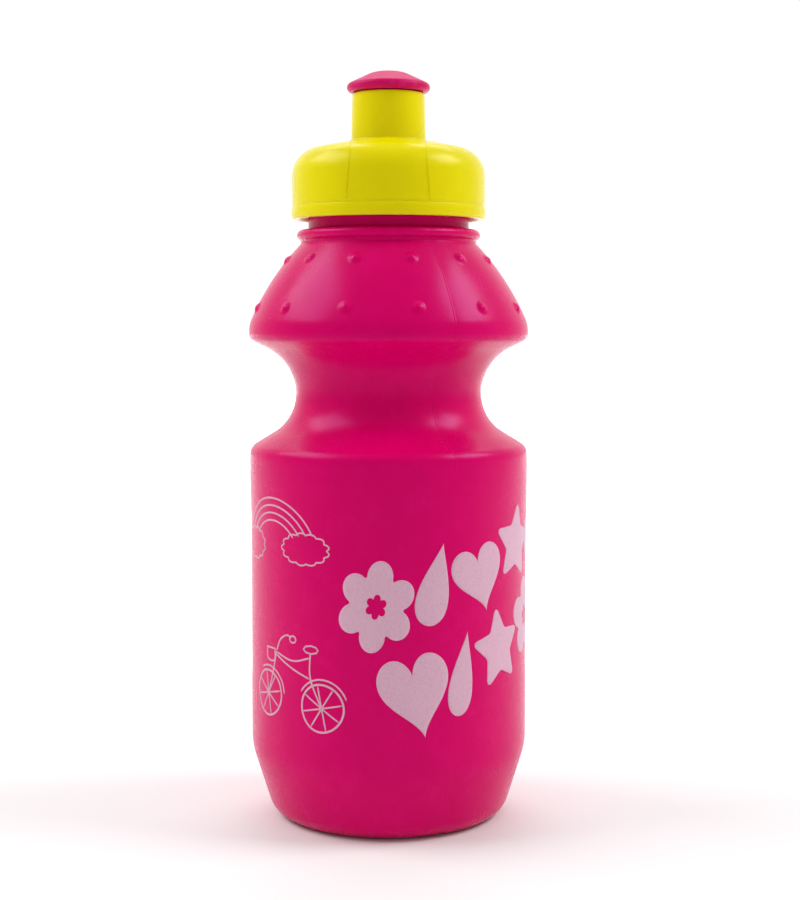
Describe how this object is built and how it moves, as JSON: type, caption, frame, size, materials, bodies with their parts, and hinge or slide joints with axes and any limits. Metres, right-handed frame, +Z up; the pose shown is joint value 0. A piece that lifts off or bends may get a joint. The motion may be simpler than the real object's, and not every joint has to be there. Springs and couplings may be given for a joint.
{
  "type": "kids water bottle",
  "caption": "Squeezable children's drinks bottle with a finger groove, bumped shoulder, screw cap and a pull-open drinking valve on a spout tower.",
  "frame": {"origin": "middle of the base, on the surface the bottle stands on", "axes": "+Z up along the bottle's axis, towards the drinking valve; -Y faces the viewer, between the two printed groups"},
  "size_m": [0.0658, 0.0658, 0.1756],
  "materials": {
    "bottle_plastic": "satin blow-moulded soft polyethylene",
    "cap_plastic": "gloss injection-moulded",
    "valve_plastic": "satin soft moulded",
    "gasket_rubber": "matte",
    "print_ink": "screen-printed ink"
  },
  "bodies": {
    "bottle": {"bottle_body": "bottle_plastic"},
    "seal": {"cap_gasket": "gasket_rubber"},
    "cap": {"screw_cap": "cap_plastic"},
    "valve": {"pull_valve": "valve_plastic"}
  },
  "joints": [
    {"name": "cap_lift", "type": "slide", "parent": "bottle", "child": "seal", "axis": [0, 0, 1], "range_m": [0, 0.0161]},
    {"name": "cap_turn", "type": "hinge", "parent": "seal", "child": "cap", "pos_m": [0, 0, 0.1412], "axis": [0, 0, 1], "range_deg": [0, 1440]},
    {"name": "valve_pull", "type": "slide", "parent": "cap", "child": "valve", "axis": [0, 0, 1], "range_m": [0, 0.006]}
  ],
  "couplings": [
    {"joint": "cap_lift", "follows": "cap_turn", "m_per_rad": 0.00063662}
  ]
}
